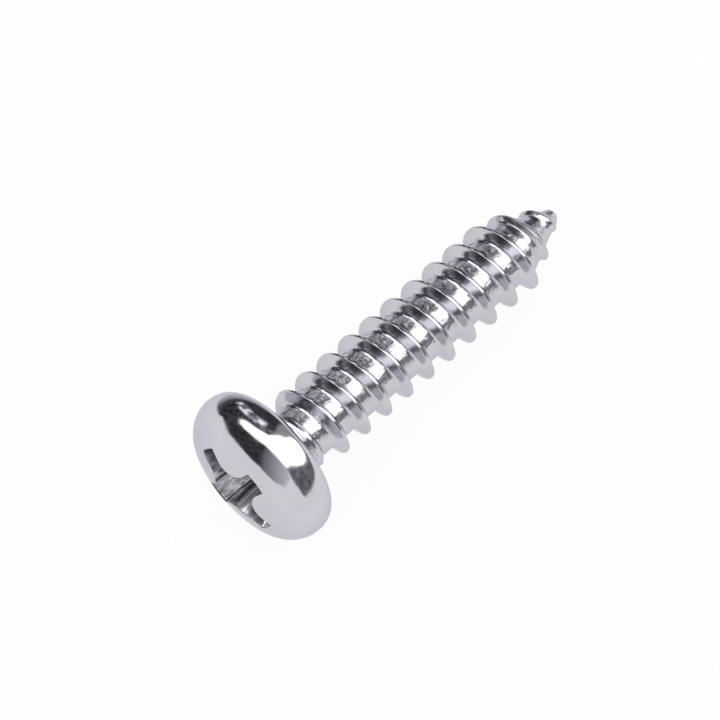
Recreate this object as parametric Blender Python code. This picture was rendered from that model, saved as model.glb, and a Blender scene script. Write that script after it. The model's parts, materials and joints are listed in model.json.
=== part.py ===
"""A sheet metal screw with a pan head, a cross recess and a cone point, lying at rest on the floor.

The screw is modelled about its own axis: +X runs towards the point, and x = 0 is the bearing face under
the head. It is then laid down on the rim of its head and the crest of its thread.
"""

import math

import bmesh
import bpy
from mathutils import Matrix, Vector

# Shank and thread, in metres
length = 0.0184
major_diameter = 0.00411
thread_depth = 0.00058
pitch = 0.0014
thread_angle = math.radians(60)
crest_land = 0.00013
root_fillet = 0.0003
thread_phase = math.radians(111)
runout_start = 0.0003
runout_length = 0.0006
neck_fillet = 0.00022

# Cone point
point_length = 0.0028
point_end_radius = 0.00018
point_crest_radius = 0.00041
point_crest_angle = math.radians(28)
point_fade = 0.0008

# Pan head
head_diameter = 0.00786
head_height = 0.00303
crown_radius = 0.0077
corner_radius = 0.0016
lower_edge_height = 0.00095
lower_edge_reach = 0.0007
hole_clearance = 0.0002
neck_rise = 0.0002

# Cross recess
recess_span = 0.00466
wing_depth = 0.0018
recess_cone_depth = 0.0006
wing_width = 0.00109
wing_draft = math.radians(4)
wing_end_angle = math.radians(26.5)
wing_end_corner = 0.00012
inner_corner_share = 0.63
recess_roll = math.radians(27.6)

# Facets
turn_segments = 36
head_segments = 48
crown_steps = 5
corner_steps = 5
lower_edge_steps = 4
recess_corner_steps = 4
sharp_angle = math.radians(32)

# How far the shank and the recess cutter run past the surfaces that they join or cut
shank_overlap = 0.0005
cutter_overrun = 0.0006

steel_color = (0.62, 0.61, 0.65, 1.0)
steel_roughness = 0.18
steel_metallic = 1.0

major_radius = major_diameter / 2
core_radius = major_radius - thread_depth
head_radius = head_diameter / 2
merge_distance = 0.000001


def clear_scene():
    for item in list(bpy.data.objects):
        bpy.data.objects.remove(item, do_unlink=True)


def clamp(value, low, high):
    return max(low, min(high, value))


def arc(centre, radii, start, end, steps):
    """Points of an elliptical arc, each as (along the axis, out from the axis)."""
    points = []
    for step in range(steps + 1):
        angle = start + (end - start) * step / steps
        along = centre[0] + radii[0] * math.cos(angle)
        out = centre[1] + radii[1] * math.sin(angle)
        points.append((along, out))
    return points


def thread_section():
    """One pitch of the thread's outline, as (distance along the axis from the crest, share of the depth)."""
    bend = math.pi / 2 - thread_angle / 2
    flank_foot = crest_land / 2 + thread_depth * math.tan(thread_angle / 2)
    room = pitch / 2 - flank_foot
    fillet = min(root_fillet, 0.9 * room / math.tan(bend / 2))
    centre = flank_foot + fillet * math.tan(bend / 2)
    right = [(crest_land / 2, 1.0)]
    for turn in (bend, bend / 2, 0.0):
        along = centre - fillet * math.sin(turn)
        height = fillet * (1 - math.cos(turn))
        right.append((along, height / thread_depth))
    left = [(pitch - along, share) for along, share in reversed(right)]
    return right + left


def core_at(along):
    """Radius of the core: a fillet at the neck, then straight, then the blunt cone of the point."""
    share = clamp((length - along) / point_length, 0.0, 1.0)
    radius = point_end_radius + (core_radius - point_end_radius) * share
    rise = clamp(1 - along / neck_fillet, 0.0, 1.0)
    return radius + neck_fillet * (1 - math.sqrt(1 - rise * rise))


def crest_at(along):
    """Radius of the thread's crest: it runs in behind the head and narrows along the point."""
    core = core_at(along)
    from_tip = length - along
    cone = point_crest_radius + from_tip * math.tan(point_crest_angle)
    height = max(0.0, min(major_radius, cone) - core)
    height *= clamp((along - runout_start) / runout_length, 0.0, 1.0)
    height *= clamp(from_tip / point_fade, 0.0, 1.0) ** 2
    return core + height


def shank_mesh():
    """One closed skin: a strip one pitch wide winds along the axis, and each turn joins the one before it."""
    section = thread_section()
    first_crest = pitch * (thread_phase / math.tau - 1)
    lead_turns = math.ceil((shank_overlap + first_crest) / pitch) + 2
    turns = math.ceil(length / pitch) + 3
    bm = bmesh.new()
    rows = []
    for row in range(-lead_turns * turn_segments, turns * turn_segments + 1):
        angle = math.tau * row / turn_segments
        verts = []
        for offset, share in section:
            along = clamp(first_crest + pitch * row / turn_segments + offset, -shank_overlap, length)
            radius = core_at(along) + share * (crest_at(along) - core_at(along))
            verts.append(bm.verts.new((along, radius * math.cos(angle), radius * math.sin(angle))))
        rows.append(verts)
    for row in range(len(rows) - 1):
        here, after = rows[row], rows[row + 1]
        for near, far in zip(range(len(section) - 1), range(1, len(section))):
            bm.faces.new((here[near], after[near], after[far], here[far]))
        if row + 1 + turn_segments < len(rows):
            here_next, after_next = rows[row + turn_segments], rows[row + 1 + turn_segments]
            bm.faces.new((here[-1], after[-1], after_next[0], here_next[0]))
    bmesh.ops.remove_doubles(bm, verts=bm.verts, dist=merge_distance)
    bmesh.ops.dissolve_degenerate(bm, edges=bm.edges, dist=merge_distance)
    rim = [edge for edge in bm.edges if edge.is_boundary]
    bmesh.ops.holes_fill(bm, edges=rim)
    return finished(bm, "shank")


def head_outline():
    """The turned outline of the head, from the middle of the crown to the middle of the underside.

    The bearing ring ends at the clearance hole of the clamped sheet. Inside it, a low cone rises to the neck.
    """
    crown_centre = crown_radius - head_height
    corner_out = head_radius - corner_radius
    corner_centre = crown_centre - math.sqrt((crown_radius - corner_radius) ** 2 - corner_out ** 2)
    meeting = math.atan2(corner_out, crown_centre - corner_centre)
    crown = arc((crown_centre, 0), (crown_radius, crown_radius), math.pi, math.pi - meeting, crown_steps)
    corner = arc(
        (corner_centre, corner_out),
        (corner_radius, corner_radius),
        math.pi - meeting,
        math.pi / 2,
        corner_steps,
    )
    lower = arc(
        (-lower_edge_height, head_radius - lower_edge_reach),
        (lower_edge_height, lower_edge_reach),
        math.pi / 2,
        0,
        lower_edge_steps,
    )
    clearance_hole = major_radius + hole_clearance
    return crown + corner[1:] + lower + [(0, clearance_hole), (neck_rise, 0)]


def head_mesh():
    """The outline is spun about the axis. A flat of the rim faces down, which is where the head rests."""
    bm = bmesh.new()
    start = Matrix.Rotation(-math.pi / 2 + math.pi / head_segments, 4, "X")
    verts = [bm.verts.new(start @ Vector((along, out, 0))) for along, out in head_outline()]
    edges = [bm.edges.new(pair) for pair in zip(verts, verts[1:])]
    bmesh.ops.spin(
        bm,
        geom=verts + edges,
        cent=(0, 0, 0),
        axis=(1, 0, 0),
        angle=math.tau,
        steps=head_segments,
        use_merge=True,
    )
    bmesh.ops.remove_doubles(bm, verts=bm.verts, dist=merge_distance)
    return finished(bm, "screw")


def cross_ring(half_span, half_width):
    """The outline of a four-winged cross with rounded wing ends. Its inner corners shrink with its wings."""
    quarter = []
    end = half_span - wing_end_corner
    side = half_width - wing_end_corner
    inner_corner = inner_corner_share * (end - half_width)
    for angle in (0, math.pi / 4, math.pi / 2):
        quarter.append((end + wing_end_corner * math.cos(angle), side + wing_end_corner * math.sin(angle)))
    centre = half_width + inner_corner
    for step in range(recess_corner_steps + 1):
        angle = -math.pi / 2 - math.pi / 2 * step / recess_corner_steps
        across = centre + inner_corner * math.cos(angle)
        along = centre + inner_corner * math.sin(angle)
        quarter.append((across, along))
    for angle in (math.pi / 2, math.pi / 4, 0):
        quarter.append((side + wing_end_corner * math.sin(angle), end + wing_end_corner * math.cos(angle)))
    ring = []
    for turn in range(4):
        spin = Matrix.Rotation(turn * math.pi / 2, 2)
        ring += [spin @ Vector(point) for point in quarter]
    return ring


def recess_mesh():
    """The recess as a solid: its wings narrow with depth below the mouth and end in a shallow cone."""
    mouth = crown_radius - head_height - math.sqrt(crown_radius ** 2 - (recess_span / 2) ** 2)
    bm = bmesh.new()
    rings = []
    for depth in (-cutter_overrun, wing_depth):
        half_span = recess_span / 2 - depth * math.tan(wing_end_angle)
        half_width = wing_width / 2 - depth * math.tan(wing_draft)
        outline = cross_ring(half_span, half_width)
        rings.append([bm.verts.new((mouth + depth, point.x, point.y)) for point in outline])
    count = len(rings[0])
    for index in range(count):
        after = (index + 1) % count
        bm.faces.new((rings[0][index], rings[0][after], rings[1][after], rings[1][index]))
    bottom = bm.verts.new((mouth + wing_depth + recess_cone_depth, 0, 0))
    for index in range(count):
        bm.faces.new((rings[1][index], rings[1][(index + 1) % count], bottom))
    bm.faces.new(rings[0])
    bmesh.ops.rotate(bm, verts=bm.verts, matrix=Matrix.Rotation(recess_roll, 3, "X"))
    return finished(bm, "recess_cutter")


def finished(bm, name):
    """A mesh of triangles that face out."""
    bmesh.ops.triangulate(bm, faces=bm.faces)
    bmesh.ops.recalc_face_normals(bm, faces=bm.faces)
    mesh = bpy.data.meshes.new(name)
    bm.to_mesh(mesh)
    bm.free()
    shade(mesh)
    return mesh


def shade(mesh):
    """Smooth, apart from the edges that are sharp on the real screw."""
    mesh.shade_smooth()
    mesh.set_sharp_from_angle(angle=sharp_angle)


def add_object(name, mesh):
    item = bpy.data.objects.new(name, mesh)
    bpy.context.collection.objects.link(item)
    return item


def add_boolean(item, tool, operation):
    modifier = item.modifiers.new(tool.name, "BOOLEAN")
    modifier.object = tool
    modifier.operation = operation
    modifier.solver = "EXACT"


def apply_modifiers(item):
    """Turns the result of the modifiers into the object's own mesh, and marks its true edges."""
    bpy.context.view_layer.update()
    whole = bpy.data.meshes.new_from_object(item.evaluated_get(bpy.context.evaluated_depsgraph_get()))
    item.modifiers.clear()
    item.data = whole
    shade(whole)


def steel():
    material = bpy.data.materials.new("bright_steel")
    material.use_nodes = True
    shader = material.node_tree.nodes["Principled BSDF"]
    shader.inputs["Base Color"].default_value = steel_color
    shader.inputs["Roughness"].default_value = steel_roughness
    shader.inputs["Metallic"].default_value = steel_metallic
    return material


def resting_lean(rim, shank):
    """The angle about Y at which the lowest point of the rim and of the shank lie on one level line."""
    lean = 0.0
    for _ in range(4):
        low_rim = min(rim, key=lambda p: p.z * math.cos(lean) - p.x * math.sin(lean))
        low_shank = min(shank, key=lambda p: p.z * math.cos(lean) - p.x * math.sin(lean))
        lean = math.atan2(low_shank.z - low_rim.z, low_shank.x - low_rim.x)
    return lean


def lay_down(screw):
    """Leans the screw onto the floor, and puts the middle of its footprint at the origin."""
    points = [vert.co.copy() for vert in screw.data.vertices]
    rim = [point for point in points if point.x < 0]
    shank = [point for point in points if point.x > 0]
    lean = resting_lean(rim, shank)
    turn = Matrix.Rotation(lean, 4, "Y")
    turned = [turn @ point for point in points]
    low = [min(point[axis] for point in turned) for axis in range(3)]
    high = [max(point[axis] for point in turned) for axis in range(3)]
    screw.rotation_euler.y = lean
    screw.location = (-(low[0] + high[0]) / 2, -(low[1] + high[1]) / 2, -low[2])


def build():
    clear_scene()
    shank = add_object("shank", shank_mesh())
    cutter = add_object("recess_cutter", recess_mesh())
    screw = add_object("screw", head_mesh())
    add_boolean(screw, shank, "UNION")
    add_boolean(screw, cutter, "DIFFERENCE")
    apply_modifiers(screw)
    for tool in (shank, cutter):
        bpy.data.objects.remove(tool, do_unlink=True)
    screw.data.materials.clear()
    screw.data.materials.append(steel())
    lay_down(screw)


build()
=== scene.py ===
"""The looks of a sheet metal screw that lies at rest on a pale floor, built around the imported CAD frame."""

import json
import math

import bmesh
import bpy
from mathutils import Matrix, Vector


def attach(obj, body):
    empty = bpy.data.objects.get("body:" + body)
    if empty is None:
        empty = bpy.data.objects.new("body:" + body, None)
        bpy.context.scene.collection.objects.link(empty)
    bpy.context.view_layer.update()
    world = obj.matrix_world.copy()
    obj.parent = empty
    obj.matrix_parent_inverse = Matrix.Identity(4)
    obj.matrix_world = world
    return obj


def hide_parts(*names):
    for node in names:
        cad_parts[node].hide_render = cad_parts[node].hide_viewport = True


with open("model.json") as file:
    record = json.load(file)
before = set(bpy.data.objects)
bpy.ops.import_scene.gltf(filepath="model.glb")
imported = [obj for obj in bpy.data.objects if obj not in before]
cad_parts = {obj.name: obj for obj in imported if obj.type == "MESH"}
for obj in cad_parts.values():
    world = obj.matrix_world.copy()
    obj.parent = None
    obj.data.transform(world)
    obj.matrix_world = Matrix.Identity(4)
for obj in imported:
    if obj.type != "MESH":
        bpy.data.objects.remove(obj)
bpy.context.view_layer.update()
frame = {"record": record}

# The screw about its own axis, in metres: +X runs to the point, and x = 0 is the bearing face.
# The first turn, the flanks and the end of the point differ a little from those in the part's source.
LENGTH = 0.0184
MAJOR_RADIUS = 0.002055
THREAD_DEPTH = 0.00058
CORE_RADIUS = MAJOR_RADIUS - THREAD_DEPTH
PITCH = 0.0014
FRONT_FLANK = math.radians(24)
BACK_FLANK = math.radians(25)
CREST_LAND = 0.00013
CREST_ROUND = 0.00005
ROOT_FILLET = 0.0003
BACK_FILLET = 0.00012
THREAD_PHASE = math.radians(111)
RUNOUT_START = 0.0006
RUNOUT_LENGTH = 0.0014
NECK_FILLET = 0.00045
SHANK_START = 0.00005

POINT_LENGTH = 0.0028
POINT_END_RADIUS = 0.00028
POINT_END_ROUND = 0.00016
POINT_CREST_RADIUS = 0.00041
POINT_CREST_ANGLE = math.radians(28)
POINT_FADE = 0.0006

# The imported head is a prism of 48 flats, and this one is round inside it
HEAD_RADIUS = 0.00391
HEAD_HEIGHT = 0.003022
CROWN_RADIUS = 0.0077
CORNER_RADIUS = 0.0016
LOWER_EDGE_HEIGHT = 0.00095
LOWER_EDGE_REACH = 0.0007
BEARING_HOLE = MAJOR_RADIUS + 0.0002

RECESS_SPAN = 0.00466
WING_DEPTH = 0.0018
RECESS_CONE_DEPTH = 0.0006
WING_WIDTH = 0.00109
WING_DRAFT = math.radians(4)
WING_END_ANGLE = math.radians(26.5)
WING_END_CORNER = 0.00012
INNER_CORNER_SHARE = 0.63
RECESS_ROLL = math.radians(27.6)
MOUTH_ROUND = 0.00005
FLOOR_ROUND = 0.00012

# How the screw lies, from the frame: its mount points along the axis, from a point on the bearing face
MOUNT = frame["record"]["mounts"][0]
MOUNT_ABOVE_AXIS = 0.00305
MOUNT_AXIS = Vector(MOUNT["axis"])
LEAN = math.atan2(-MOUNT_AXIS.z, MOUNT_AXIS.x)
REST_PLACE = Vector(MOUNT["pos_m"]) - MOUNT_ABOVE_AXIS * Vector((math.sin(LEAN), 0.0, math.cos(LEAN)))

# Facets of the shank. Its strip runs past both ends by whole turns, which are clamped to the ends.
TURN_SEGMENTS = 120
TURNS_BEFORE = 2
TURNS_AFTER = 3
CREST_STEPS = 4
FILLET_STEPS = 8
ROOT_STEPS = 6

# Facets of the head, from the bottom of the recess outwards. BOTTOM_SHARE is how far out the floor has its
# ring of points, and CROWN_EDGE_START is the share of the crown's angle at which its turned edge starts.
HEAD_SEGMENTS = 240
BOTTOM_SHARE = 0.35
FOOT_STEPS = 4
WALL_STEPS = 6
MOUTH_STEPS = 5
CROWN_STEPS = 16
CROWN_EDGE_START = 0.78
CROWN_EDGE_STEPS = 6
CORNER_STEPS = 20
LOWER_EDGE_STEPS = 14
BEARING_STRIP = 0.0003
MOUTH_SEARCH_STEPS = 12

# The relief of each row of a column of the head. It is -1 on the floor, the foot and the wall of the recess
# and on the first row of its mouth, and the recess's painted shade and punch streaks end within the next two
# rows.
RECESS_ROWS = 2 + (FOOT_STEPS + 1) + (WALL_STEPS - 1) + 1
HEAD_RELIEF = [-1.0] * RECESS_ROWS + [-0.6, 0.2, 0.0]

MERGE_DISTANCE = 0.0000001
SHARP_ANGLE = math.radians(50)

# The materials of the screw, in the order of their slots, are the head's and the thread's
THREAD_SLOT = 1

# Colours of the steel as (dark, light), and the tint that it has at a glancing angle
CROWN_TONES = (0.585, 0.577, 0.629), (0.625, 0.617, 0.672)
# The recess's streaks run between these colours, and their dark end is painted shade that darkens the recess
RECESS_SHADE_AND_STREAK_TONES = (0.26, 0.24, 0.26), (0.72, 0.71, 0.75)
THREAD_TONES = (0.565, 0.558, 0.6), (0.61, 0.603, 0.646)
GLANCING_TINT = (0.76, 0.75, 0.8, 1.0)

# Roughness, and how much it varies from patch to patch
CROWN_ROUGHNESS = 0.14
RECESS_ROUGHNESS = 0.22
FLANK_ROUGHNESS = 0.16
ROOT_ROUGHNESS = 0.23
HEAD_PATCHES = (-0.03, 0.03)
THREAD_PATCHES = (-0.02, 0.03)

# Depths of the dents and scores, in metres
CROWN_DENTS = 0.0000025
RECESS_SCORES = 0.00004
FLANK_DENTS = 0.000002
ROOT_DENTS = 0.000024

# Noises as (patches per metre, detail). Most values of a noise lie in the usual range.
TONE_NOISE = (900.0, 4.0)
PATCH_NOISE = (1500.0, 4.0)
STREAK_NOISE = (4500.0, 2.0)
CROWN_DENT_NOISE = (2500.0, 2.0)
ROOT_DENT_NOISE = (4200.0, 1.0)
USUAL_RANGE = (0.3, 0.7)
STREAK_STRETCH = (0.15, 1.0, 1.0)

# The relief where the recess, and the root of the thread, begin and are reached in full
RECESS_BOUNDS = (-0.2, -1.0)
ROOT_BOUNDS = (0.45, 0.05)

FLOOR_SIZE = 2.0
FLOOR_TONE = (0.9, 0.9, 0.9, 1.0)
FLOOR_SHOWN_WHITE = 0.93

# The cards lie on domes round this point, and a nearer card hides those behind it
DOME_CENTRE = Vector((-0.009, 0.0, 0.004))
DOME_RADII = {
    "softbox": 0.28,
    "room_back": 0.30,
    "grey_band": 0.305,
    "wall_back": 0.31,
    "wall_front": 0.315,
    "wall_left": 0.32,
}
CARD_CUTS = 15

# Corners of the cards as (azimuth, angle from straight up), in degrees
SOFTBOX = [
    (-6, 79), (-10, 83), (-18, 83), (-27, 79), (-37, 72), (-55, 60), (-73, 49), (-95, 41), (-119, 43),
    (-131, 32), (180, 22), (147, 32), (124, 46), (111, 53), (100, 53), (94, 46), (94, 27), (51, 11),
    (10, 21), (-3, 34), (-9, 45), (-6, 65),
]
WALL_BACK = [
    (12, 22), (51, 10), (94, 20), (94, 46), (100, 52), (111, 52), (124, 45), (147, 31), (180, 21),
    (180, 50), (180, 86), (171, 92), (159, 88), (140, 85), (122, 81), (110, 83), (105, 96), (98, 96),
    (79, 96), (60, 96), (45, 95), (30, 94), (12, 92),
]
GREY_BAND = [(12, 20), (12, 90), (4, 92), (-6, 92), (-6, 65), (-9, 45), (-3, 33), (10, 20)]
ROOM_BACK = [
    (14, 28), (33, 20), (54, 16), (70, 28), (76, 52), (71, 85), (58, 85), (54, 66), (45, 51), (33, 43),
    (15, 38),
]
WALL_FRONT = [
    (4, 76), (4, 96), (-20, 97), (-37, 94), (-58, 87), (-79, 87), (-103, 89), (-108, 86), (-117, 65),
    (-121, 42), (-95, 39), (-55, 58), (-27, 68),
]
WALL_LEFT = [(180, 21), (180, 90), (-165, 88), (-145, 80), (-125, 60), (-121, 42), (-131, 31)]

# A grey patch just above the floor, in metres
FLOOR_PATCH = [(-0.001, 0.010), (0.3, 0.010), (0.3, 0.3), (-0.09, 0.3), (-0.009, 0.035), (-0.005, 0.02)]
FLOOR_PATCH_HEIGHT = 0.0002

# How bright the cards are. A fading one goes from one strength to the other between two places along Y.
SOFTBOX_STRENGTH = 2.2
GREY_BAND_STRENGTH = 0.36
WALL_LEFT_FADE = ((0.0, -0.18), (0.15, 0.62))
FLOOR_PATCH_FADE = ((0.009, 0.045), (0.8, 0.1))
FADE_TONE = (0.95, 0.92, 1.0, 1.0)

# Mottled cards as noise, and the strengths at some of its values
ROOM_BACK_NOISE = (18.0, 4.0)
ROOM_BACK_LEVELS = ((0.41, 0.03), (0.47, 0.12), (0.53, 0.6), (0.59, 1.7))
WALL_BACK_NOISE = (45.0, 4.0)
WALL_BACK_LEVELS = ((0.35, 0.01), (0.5, 0.035), (0.65, 0.12))
WALL_FRONT_NOISE = (55.0, 4.0)
WALL_FRONT_LEVELS = ((0.38, 0.03), (0.5, 0.12), (0.62, 0.4))
MOTTLED_TONE = (0.95, 0.93, 1.0)

CAMERA_AZIMUTH = math.radians(-45.1341)
CAMERA_ELEVATION = math.radians(67.4142)
CAMERA_DISTANCE = 0.215
CAMERA_TARGET = Vector((-0.001514828, 0.000804834, 0.003))
CAMERA_LENS = 232.2074
CAMERA_CLIP_START = 0.001
CAMERA_CLIP_END = 10.0


def clamp(value, low, high):
    return max(low, min(high, value))


def arc(centre, radii, start, end, steps):
    """Points of an elliptical arc, each as (along the axis, out from the axis)."""
    points = []
    for step in range(steps + 1):
        angle = start + (end - start) * step / steps
        points.append((centre[0] + radii[0] * math.cos(angle), centre[1] + radii[1] * math.sin(angle)))
    return points


# Shank and thread

def thread_side(slope, fillet):
    """One side of a turn, from the crest down: its rounded edge, the flank and the fillet at the foot.

    Each point is (distance along the axis from the middle of the crest, share of the depth).
    """
    bend = math.pi / 2 - slope
    flank_foot = CREST_LAND / 2 + THREAD_DEPTH * math.tan(slope)
    round_start = CREST_LAND / 2 - CREST_ROUND * math.tan(bend / 2)
    points = []
    for step in range(CREST_STEPS + 1):
        turn = bend * step / CREST_STEPS
        along = round_start + CREST_ROUND * math.sin(turn)
        height = THREAD_DEPTH - CREST_ROUND * (1 - math.cos(turn))
        points.append((along, height / THREAD_DEPTH))
    centre = flank_foot + fillet * math.tan(bend / 2)
    for step in range(FILLET_STEPS + 1):
        turn = bend * (1 - step / FILLET_STEPS)
        along = centre - fillet * math.sin(turn)
        height = fillet * (1 - math.cos(turn))
        points.append((along, height / THREAD_DEPTH))
    return points


def thread_section():
    """One pitch of the thread's outline, from one crest to the next, as thread_side gives it."""
    back = thread_side(BACK_FLANK, BACK_FILLET)
    front = thread_side(FRONT_FLANK, ROOT_FILLET)
    rising = [(PITCH - along, share) for along, share in reversed(front)]
    start, end = back[-1][0], rising[0][0]
    root = [(start + (end - start) * step / ROOT_STEPS, 0.0) for step in range(1, ROOT_STEPS)]
    return back + root + rising


def core_at(along):
    """Radius of the core: a fillet at the neck, then straight, then the blunt cone of the point."""
    share = clamp((LENGTH - along) / POINT_LENGTH, 0.0, 1.0)
    radius = POINT_END_RADIUS + (CORE_RADIUS - POINT_END_RADIUS) * share
    rise = clamp(1 - along / NECK_FILLET, 0.0, 1.0)
    end = clamp(1 - (LENGTH - along) / POINT_END_ROUND, 0.0, 1.0)
    radius += NECK_FILLET * (1 - math.sqrt(1 - rise * rise))
    return radius - POINT_END_ROUND * (1 - math.sqrt(1 - end * end))


def crest_at(along):
    """Radius of the thread's crest: it runs in behind the head and narrows along the point."""
    core = core_at(along)
    from_tip = LENGTH - along
    cone = POINT_CREST_RADIUS + from_tip * math.tan(POINT_CREST_ANGLE)
    height = max(0.0, min(MAJOR_RADIUS, cone) - core)
    height *= clamp((along - RUNOUT_START) / RUNOUT_LENGTH, 0.0, 1.0)
    height *= clamp(from_tip / POINT_FADE, 0.0, 1.0) ** 2
    return core + height


def merge(bm):
    """Joins the points that lie on each other, and takes out the faces that have no area."""
    bmesh.ops.remove_doubles(bm, verts=bm.verts, dist=MERGE_DISTANCE)
    bmesh.ops.dissolve_degenerate(bm, edges=bm.edges, dist=MERGE_DISTANCE)


def add_shank(bm):
    """A strip one pitch wide winds along the axis. Returns the open ring of edges at the neck."""
    relief = bm.verts.layers.float["relief"]
    section = thread_section()
    first_crest = PITCH * (THREAD_PHASE / math.tau - 1)
    turns = math.ceil(LENGTH / PITCH) + TURNS_AFTER
    rows = []
    for row in range(-TURNS_BEFORE * TURN_SEGMENTS, turns * TURN_SEGMENTS + 1):
        angle = math.tau * row / TURN_SEGMENTS
        verts = []
        for offset, share in section:
            along = clamp(first_crest + PITCH * row / TURN_SEGMENTS + offset, SHANK_START, LENGTH)
            radius = core_at(along) + share * (crest_at(along) - core_at(along))
            vert = bm.verts.new((along, radius * math.cos(angle), radius * math.sin(angle)))
            vert[relief] = (radius - CORE_RADIUS) / THREAD_DEPTH
            verts.append(vert)
        rows.append(verts)
    for row in range(len(rows) - 1):
        here, after = rows[row], rows[row + 1]
        for place in range(len(section) - 1):
            bm.faces.new((here[place], after[place], after[place + 1], here[place + 1]))
        if row + 1 + TURN_SEGMENTS < len(rows):
            here_next, after_next = rows[row + TURN_SEGMENTS], rows[row + 1 + TURN_SEGMENTS]
            bm.faces.new((here[-1], after[-1], after_next[0], here_next[0]))
    merge(bm)
    tip = [edge for edge in bm.edges if edge.is_boundary and edge.verts[0].co.x > LENGTH / 2]
    bmesh.ops.holes_fill(bm, edges=tip)
    return [edge for edge in bm.edges if edge.is_boundary]


# Head and recess

def crown_face(out):
    """Distance along the axis of the crown at a distance out from the axis."""
    return CROWN_RADIUS - HEAD_HEIGHT - math.sqrt(CROWN_RADIUS ** 2 - out ** 2)


def cross_outline(half_span, half_width):
    """A four-winged cross with rounded wing ends and inner corners, with HEAD_SEGMENTS points in all."""
    end = half_span - WING_END_CORNER
    side = half_width - WING_END_CORNER
    inner_corner = INNER_CORNER_SHARE * (end - half_width)
    inner = half_width + inner_corner
    quarter = HEAD_SEGMENTS // 4
    end_steps, corner_steps, side_steps = 4, 6, 12
    inner_steps = quarter - 2 * (end_steps + corner_steps + side_steps)
    half = [(half_span, side * step / end_steps) for step in range(end_steps)]
    for step in range(corner_steps):
        angle = math.pi / 2 * step / corner_steps
        half.append((end + WING_END_CORNER * math.cos(angle), side + WING_END_CORNER * math.sin(angle)))
    for step in range(side_steps):
        half.append((end + (inner - end) * step / side_steps, half_width))
    middle = []
    for step in range(inner_steps + 1):
        angle = -math.pi / 2 - math.pi / 2 * step / inner_steps
        middle.append((inner + inner_corner * math.cos(angle), inner + inner_corner * math.sin(angle)))
    whole = half + middle + [(y, x) for x, y in reversed(half)][:-1]
    points = []
    for turn in range(4):
        spin = Matrix.Rotation(turn * math.pi / 2 + RECESS_ROLL, 2)
        points += [spin @ Vector(point) for point in whole]
    return points


def outward(points):
    """Unit normals of a closed outline that runs anticlockwise."""
    count = len(points)
    normals = []
    for index in range(count):
        run = points[(index + 1) % count] - points[index - 1]
        normals.append(Vector((run.y, -run.x)).normalized())
    return normals


def recess_at(depth, mouth):
    """The recess at a depth below the mouth plane: its place along the axis, and its outline."""
    half_span = RECESS_SPAN / 2 - depth * math.tan(WING_END_ANGLE)
    half_width = WING_WIDTH / 2 - depth * math.tan(WING_DRAFT)
    return mouth + depth, cross_outline(half_span, half_width)


def on_wall(walls, index, depth):
    """The point of the recess wall in that column and at that depth below the mouth plane."""
    (low_along, low), (high_along, high) = walls
    share = depth / WING_DEPTH
    point = low[index].lerp(high[index], share)
    return Vector((low_along + (high_along - low_along) * share, point.x, point.y))


def bezier(start, corner, end, steps):
    """Points of a curve that leaves the start towards the corner, and comes to the end from the corner."""
    points = []
    for step in range(steps + 1):
        t = step / steps
        points.append(start * (1 - t) ** 2 + corner * (2 * t * (1 - t)) + end * t ** 2)
    return points


def mouth_depth(walls, index):
    """How far below the mouth plane the wall of that column meets the domed crown."""
    depth = 0.0
    for _ in range(MOUTH_SEARCH_STEPS):
        point = on_wall(walls, index, depth)
        depth += crown_face(math.hypot(point.y, point.z)) - point.x
    return depth


def turned_profile():
    """The head's outline outside the recess, from the edge of the crown to the bearing face."""
    crown_centre = CROWN_RADIUS - HEAD_HEIGHT
    corner_out = HEAD_RADIUS - CORNER_RADIUS
    corner_centre = crown_centre - math.sqrt((CROWN_RADIUS - CORNER_RADIUS) ** 2 - corner_out ** 2)
    meeting = math.atan2(corner_out, crown_centre - corner_centre)
    start, turn = math.pi - meeting * CROWN_EDGE_START, math.pi - meeting
    side = math.pi / 2
    profile = arc((crown_centre, 0), (CROWN_RADIUS, CROWN_RADIUS), start, turn, CROWN_EDGE_STEPS)
    corner = arc((corner_centre, corner_out), (CORNER_RADIUS, CORNER_RADIUS), turn, side, CORNER_STEPS)
    lower_centre = -LOWER_EDGE_HEIGHT, HEAD_RADIUS - LOWER_EDGE_REACH
    lower_edge = arc(lower_centre, (LOWER_EDGE_HEIGHT, LOWER_EDGE_REACH), side, 0, LOWER_EDGE_STEPS)
    profile += corner[1:] + lower_edge[1:]
    return profile + [(0, BEARING_HOLE + BEARING_STRIP), (0, BEARING_HOLE)]


def head_column(walls, index, normal, bottom, profile):
    """One column of the head: floor, wall and mouth of the recess, then the crown and the outline."""
    depth = mouth_depth(walls, index)
    edge = on_wall(walls, index, depth)
    spot = Vector((edge.y, edge.z)) + normal * MOUTH_ROUND
    crown_start = Vector((crown_face(spot.length), spot.x, spot.y))
    foot = on_wall(walls, index, WING_DEPTH)
    wall_start = on_wall(walls, index, WING_DEPTH - FLOOR_ROUND)
    wall_end = on_wall(walls, index, depth + MOUTH_ROUND)
    inwards = bottom - foot
    floor_end = foot + inwards.normalized() * min(FLOOR_ROUND, inwards.length / 2)
    column = [bottom, bottom.lerp(foot, BOTTOM_SHARE)]
    column += bezier(floor_end, foot, wall_start, FOOT_STEPS)
    column += [wall_start.lerp(wall_end, step / WALL_STEPS) for step in range(1, WALL_STEPS)]
    column += bezier(wall_end, edge, crown_start, MOUTH_STEPS)
    angle = math.tau * index / HEAD_SEGMENTS + RECESS_ROLL
    ring = Vector((math.cos(angle), math.sin(angle)))
    for step in range(1, CROWN_STEPS):
        flat = spot.lerp(ring * profile[0][1], step / CROWN_STEPS)
        column.append(Vector((crown_face(flat.length), flat.x, flat.y)))
    column += [Vector((along, out * ring.x, out * ring.y)) for along, out in profile]
    return column


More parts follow.
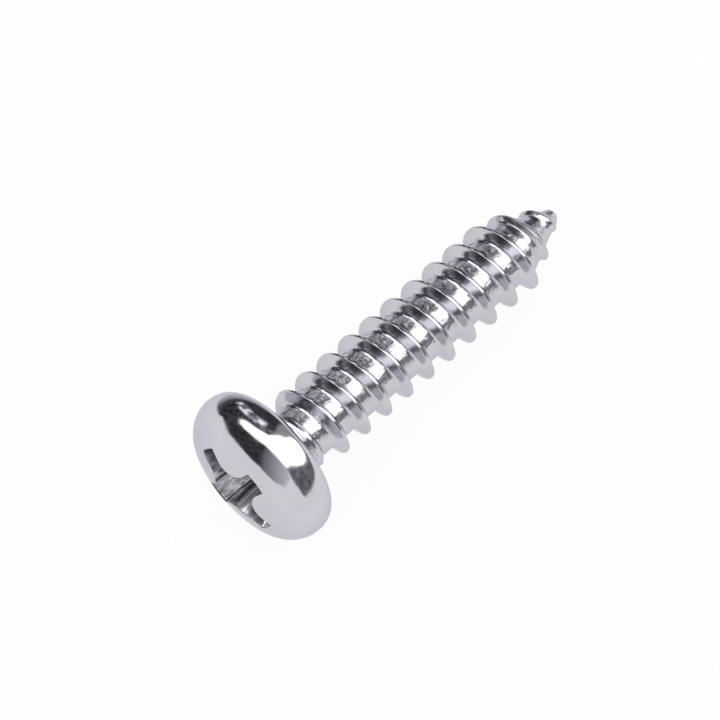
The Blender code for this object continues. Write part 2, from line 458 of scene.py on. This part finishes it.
def head_columns():
    """The head as columns of points, from the bottom of the recess over the crown to the bearing ring."""
    mouth = crown_face(RECESS_SPAN / 2)
    walls = recess_at(0.0, mouth), recess_at(WING_DEPTH, mouth)
    bottom = Vector((mouth + WING_DEPTH + RECESS_CONE_DEPTH, 0, 0))
    profile = turned_profile()
    normals = outward(walls[0][1])
    return [head_column(walls, index, normal, bottom, profile) for index, normal in enumerate(normals)]


def add_head(bm):
    """Returns the open ring of edges of the head's underside."""
    relief = bm.verts.layers.float["relief"]
    columns = [[bm.verts.new(point) for point in column] for column in head_columns()]
    count = len(columns[0])
    for column in columns:
        for row, vert in enumerate(column):
            vert[relief] = HEAD_RELIEF[min(row, len(HEAD_RELIEF) - 1)]
    for index in range(HEAD_SEGMENTS):
        here, after = columns[index], columns[(index + 1) % HEAD_SEGMENTS]
        for row in range(count - 1):
            bm.faces.new((here[row], here[row + 1], after[row + 1], after[row]))
    inner = {column[-1] for column in columns}
    return [edge for edge in bm.edges if edge.verts[0] in inner and edge.verts[1] in inner]


def add_object(name, bm, materials):
    """Turns a finished mesh into an object with these materials, in the order of their slots."""
    mesh = bpy.data.meshes.new(name)
    bm.to_mesh(mesh)
    bm.free()
    for material in materials:
        mesh.materials.append(material)
    item = bpy.data.objects.new(name, mesh)
    bpy.context.collection.objects.link(item)
    return item


def build_screw():
    """The whole screw as one closed skin, laid down as the frame has it."""
    bm = bmesh.new()
    bm.verts.layers.float.new("relief")
    neck = add_shank(bm)
    for face in bm.faces:
        face.material_index = THREAD_SLOT
    rim = add_head(bm)
    bmesh.ops.bridge_loops(bm, edges=neck + rim)
    merge(bm)
    bmesh.ops.triangulate(bm, faces=bm.faces)
    bmesh.ops.recalc_face_normals(bm, faces=bm.faces)
    lying = Matrix.Translation(REST_PLACE) @ Matrix.Rotation(LEAN, 4, "Y")
    bmesh.ops.transform(bm, matrix=lying, verts=bm.verts)
    screw = add_object("screw_body", bm, [head_steel(), thread_steel()])
    screw.data.shade_smooth()
    screw.data.set_sharp_from_angle(angle=SHARP_ANGLE)
    return screw


# Materials

def new_material(name):
    material = bpy.data.materials.new(name)
    material.use_nodes = True
    return material, material.node_tree


def node(tree, kind, **settings):
    item = tree.nodes.new(kind)
    for name, value in settings.items():
        setattr(item, name, value)
    return item


def noise(tree, place, pattern):
    """A noise at that place. The pattern is (patches per metre, detail)."""
    item = node(tree, "ShaderNodeTexNoise")
    item.inputs["Scale"].default_value = pattern[0]
    item.inputs["Detail"].default_value = pattern[1]
    tree.links.new(place, item.inputs["Vector"])
    return item.outputs["Fac"]


def spread(tree, value, source, target):
    """Turns values from one range into another, and holds those beyond it at its ends."""
    item = node(tree, "ShaderNodeMapRange")
    for name, setting in zip(("From Min", "From Max", "To Min", "To Max"), (*source, *target)):
        item.inputs[name].default_value = setting
    tree.links.new(value, item.inputs["Value"])
    return item.outputs["Result"]


def combined(tree, operation, first, second):
    item = node(tree, "ShaderNodeMath", operation=operation)
    tree.links.new(first, item.inputs[0])
    tree.links.new(second, item.inputs[1])
    return item.outputs["Value"]


def bump(tree, height, normal):
    """Bumps as high as the value says, in metres."""
    item = node(tree, "ShaderNodeBump")
    item.inputs["Strength"].default_value = 1.0
    item.inputs["Distance"].default_value = 1.0
    tree.links.new(height, item.inputs["Height"])
    tree.links.new(item.outputs["Normal"], normal)


def ramp(tree, value, tones):
    """Turns the usual values of a noise into colours from dark to light."""
    item = node(tree, "ShaderNodeValToRGB")
    for stop, position, tone in zip(item.color_ramp.elements, USUAL_RANGE, tones):
        stop.position = position
        stop.color = (*tone, 1.0)
    tree.links.new(value, item.inputs["Fac"])
    return item.outputs["Color"]


def color_socket(sockets, name):
    """A mix node has sockets of that name for each kind of value, and this one is for colours."""
    return next(socket for socket in sockets if socket.name == name and socket.type == "RGBA")


def mixed_color(tree, share, first, second):
    item = node(tree, "ShaderNodeMix", data_type="RGBA")
    tree.links.new(share, item.inputs["Factor"])
    tree.links.new(first, color_socket(item.inputs, "A"))
    tree.links.new(second, color_socket(item.inputs, "B"))
    return color_socket(item.outputs, "Result")


def plated(name, tones):
    """Bright plated steel, which the caller finishes.

    Returns the material, its shader, the place and the relief of a point, and a tone that differs a little
    from patch to patch.
    """
    material, tree = new_material(name)
    shader = tree.nodes["Principled BSDF"]
    shader.inputs["Metallic"].default_value = 1.0
    shader.inputs["Specular Tint"].default_value = GLANCING_TINT
    place = node(tree, "ShaderNodeTexCoord").outputs["Object"]
    relief = node(tree, "ShaderNodeAttribute", attribute_name="relief").outputs["Fac"]
    tone = ramp(tree, noise(tree, place, TONE_NOISE), tones)
    return material, shader, place, relief, tone


def head_steel():
    """Smooth on the crown, with faint dents. The recess has the streaks of the punch, and its colour is
    painted darker as shade.
    """
    material, shader, place, relief, crown_tone = plated("bright_steel_head", CROWN_TONES)
    tree = material.node_tree
    in_recess = spread(tree, relief, RECESS_BOUNDS, (0.0, 1.0))
    stretched = node(tree, "ShaderNodeMapping")
    stretched.inputs["Scale"].default_value = STREAK_STRETCH
    tree.links.new(place, stretched.inputs["Vector"])
    streaks = noise(tree, stretched.outputs["Vector"], STREAK_NOISE)
    # Inside the recess, the streaked colours lay painted shade over the punch's streaks
    tone = mixed_color(tree, in_recess, crown_tone, ramp(tree, streaks, RECESS_SHADE_AND_STREAK_TONES))
    tree.links.new(tone, shader.inputs["Base Color"])
    polish = spread(tree, in_recess, (0.0, 1.0), (CROWN_ROUGHNESS, RECESS_ROUGHNESS))
    patches = spread(tree, noise(tree, place, PATCH_NOISE), USUAL_RANGE, HEAD_PATCHES)
    tree.links.new(combined(tree, "ADD", polish, patches), shader.inputs["Roughness"])
    dents = spread(tree, noise(tree, place, CROWN_DENT_NOISE), (0.0, 1.0), (0.0, CROWN_DENTS))
    score_depth = spread(tree, in_recess, (0.0, 1.0), (0.0, RECESS_SCORES))
    scores = combined(tree, "MULTIPLY", streaks, score_depth)
    bump(tree, combined(tree, "ADD", dents, scores), shader.inputs["Normal"])
    return material


def thread_steel():
    """Rolled thread: the flanks are even, and the roots are dented and patchy."""
    material, shader, place, relief, tone = plated("bright_steel_thread", THREAD_TONES)
    tree = material.node_tree
    in_root = spread(tree, relief, ROOT_BOUNDS, (0.0, 1.0))
    tree.links.new(tone, shader.inputs["Base Color"])
    polish = spread(tree, in_root, (0.0, 1.0), (FLANK_ROUGHNESS, ROOT_ROUGHNESS))
    patches = spread(tree, noise(tree, place, PATCH_NOISE), USUAL_RANGE, THREAD_PATCHES)
    tree.links.new(combined(tree, "ADD", polish, patches), shader.inputs["Roughness"])
    dent_depth = spread(tree, in_root, (0.0, 1.0), (FLANK_DENTS, ROOT_DENTS))
    dents = combined(tree, "MULTIPLY", noise(tree, place, ROOT_DENT_NOISE), dent_depth)
    bump(tree, dents, shader.inputs["Normal"])
    return material


def white_ground(name):
    """A pale surface that keeps shadows, and that camera and glossy rays see mostly as plain white."""
    material, tree = new_material(name)
    tree.nodes.clear()
    output = node(tree, "ShaderNodeOutputMaterial")
    path = node(tree, "ShaderNodeLightPath")
    seen = combined(tree, "MAXIMUM", path.outputs["Is Camera Ray"], path.outputs["Is Glossy Ray"])
    lit = node(tree, "ShaderNodeBsdfDiffuse")
    lit.inputs["Color"].default_value = FLOOR_TONE
    plain = node(tree, "ShaderNodeEmission")
    mix = node(tree, "ShaderNodeMixShader")
    tree.links.new(spread(tree, seen, (0.0, 1.0), (0.0, FLOOR_SHOWN_WHITE)), mix.inputs["Fac"])
    tree.links.new(lit.outputs["BSDF"], mix.inputs[1])
    tree.links.new(plain.outputs["Emission"], mix.inputs[2])
    tree.links.new(mix.outputs["Shader"], output.inputs["Surface"])
    return material


def light_material(name):
    """A material that only glows, as (material, its emission shader)."""
    material, tree = new_material(name)
    tree.nodes.clear()
    output = node(tree, "ShaderNodeOutputMaterial")
    light = node(tree, "ShaderNodeEmission")
    tree.links.new(light.outputs["Emission"], output.inputs["Surface"])
    return material, light


def glowing(name, strength):
    material, light = light_material(name)
    light.inputs["Strength"].default_value = strength
    return material


def fading(name, fade):
    """A glow that changes along Y. The fade is (two places along Y, the strengths there)."""
    material, light = light_material(name)
    tree = material.node_tree
    light.inputs["Color"].default_value = FADE_TONE
    split = node(tree, "ShaderNodeSeparateXYZ")
    tree.links.new(node(tree, "ShaderNodeTexCoord").outputs["Object"], split.inputs["Vector"])
    tree.links.new(spread(tree, split.outputs["Y"], *fade), light.inputs["Strength"])
    return material


def mottled(name, pattern, levels):
    """Patches of several strengths, as in a furnished room. Levels are (value of the noise, strength)."""
    material, light = light_material(name)
    tree = material.node_tree
    place = node(tree, "ShaderNodeTexCoord").outputs["Object"]
    shades = node(tree, "ShaderNodeValToRGB")
    for value, strength in levels:
        stop = shades.color_ramp.elements.new(value)
        stop.color = (*(strength * share for share in MOTTLED_TONE), 1.0)
    for end in (0, -1):
        shades.color_ramp.elements.remove(shades.color_ramp.elements[end])
    tree.links.new(noise(tree, place, pattern), shades.inputs["Fac"])
    tree.links.new(shades.outputs["Color"], light.inputs["Color"])
    return material


# Studio

def add_floor():
    bm = bmesh.new()
    bmesh.ops.create_grid(bm, x_segments=1, y_segments=1, size=FLOOR_SIZE / 2)
    floor = add_object("floor", bm, [white_ground("pale_floor")])


def add_card(name, bm, material):
    """A card that only gloss shows."""
    card = add_object(name, bm, [material])
    card.visible_camera = False
    card.visible_diffuse = False
    card.visible_shadow = False


def on_dome(azimuth, tilt, radius):
    """The point of a dome at that azimuth and angle from straight up, in radians."""
    level = math.sin(tilt)
    direction = Vector((level * math.cos(azimuth), level * math.sin(azimuth), math.cos(tilt)))
    return DOME_CENTRE + radius * direction


def sky_card(name, corners, material):
    """A curved card on a dome over the head. It is cut finely while flat, with its tilts as distances."""
    bm = bmesh.new()
    flat = []
    for azimuth, tilt in corners:
        flat.append((tilt * math.cos(math.radians(azimuth)), tilt * math.sin(math.radians(azimuth)), 0))
    bm.faces.new([bm.verts.new(point) for point in flat])
    bmesh.ops.triangulate(bm, faces=bm.faces)
    bmesh.ops.subdivide_edges(bm, edges=bm.edges, cuts=CARD_CUTS, use_grid_fill=True)
    for vert in bm.verts:
        azimuth = math.atan2(vert.co.y, vert.co.x)
        tilt = math.radians(math.hypot(vert.co.x, vert.co.y))
        vert.co = on_dome(azimuth, tilt, DOME_RADII[name])
    add_card(name, bm, material)


def add_surroundings():
    """A softbox overhead and dark walls round the table, which only gloss shows."""
    sky_card("softbox", SOFTBOX, glowing("softbox_light", SOFTBOX_STRENGTH))
    sky_card("room_back", ROOM_BACK, mottled("room_back", ROOM_BACK_NOISE, ROOM_BACK_LEVELS))
    sky_card("grey_band", GREY_BAND, glowing("grey_band", GREY_BAND_STRENGTH))
    sky_card("wall_back", WALL_BACK, mottled("wall_back_dark", WALL_BACK_NOISE, WALL_BACK_LEVELS))
    sky_card("wall_front", WALL_FRONT, mottled("wall_front_dark", WALL_FRONT_NOISE, WALL_FRONT_LEVELS))
    sky_card("wall_left", WALL_LEFT, fading("wall_left_grey", WALL_LEFT_FADE))
    bm = bmesh.new()
    bm.faces.new([bm.verts.new((x, y, FLOOR_PATCH_HEIGHT)) for x, y in FLOOR_PATCH])
    add_card("floor_patch", bm, fading("floor_patch_grey", FLOOR_PATCH_FADE))


def add_world():
    world = bpy.data.worlds.new("studio")
    bpy.context.scene.world = world
    world.use_nodes = True
    background = world.node_tree.nodes["Background"]
    background.inputs["Color"].default_value = (1.0, 1.0, 1.0, 1.0)
    background.inputs["Strength"].default_value = 1.0


def add_camera():
    heading = CAMERA_AZIMUTH + math.pi / 2
    level = math.cos(CAMERA_ELEVATION)
    forward = Vector((level * math.cos(heading), level * math.sin(heading), -math.sin(CAMERA_ELEVATION)))
    data = bpy.data.cameras.new("camera")
    data.lens = CAMERA_LENS
    data.clip_start = CAMERA_CLIP_START
    data.clip_end = CAMERA_CLIP_END
    camera = bpy.data.objects.new("camera", data)
    bpy.context.collection.objects.link(camera)
    camera.location = CAMERA_TARGET - forward * CAMERA_DISTANCE
    camera.rotation_euler = forward.to_track_quat("-Z", "Y").to_euler()
    bpy.context.scene.camera = camera


def main():
    bpy.context.scene.view_settings.view_transform = "Standard"
    add_camera()
    screw = build_screw()
    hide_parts("screw")
    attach(screw, "root")
    add_floor()
    add_surroundings()
    add_world()


main()
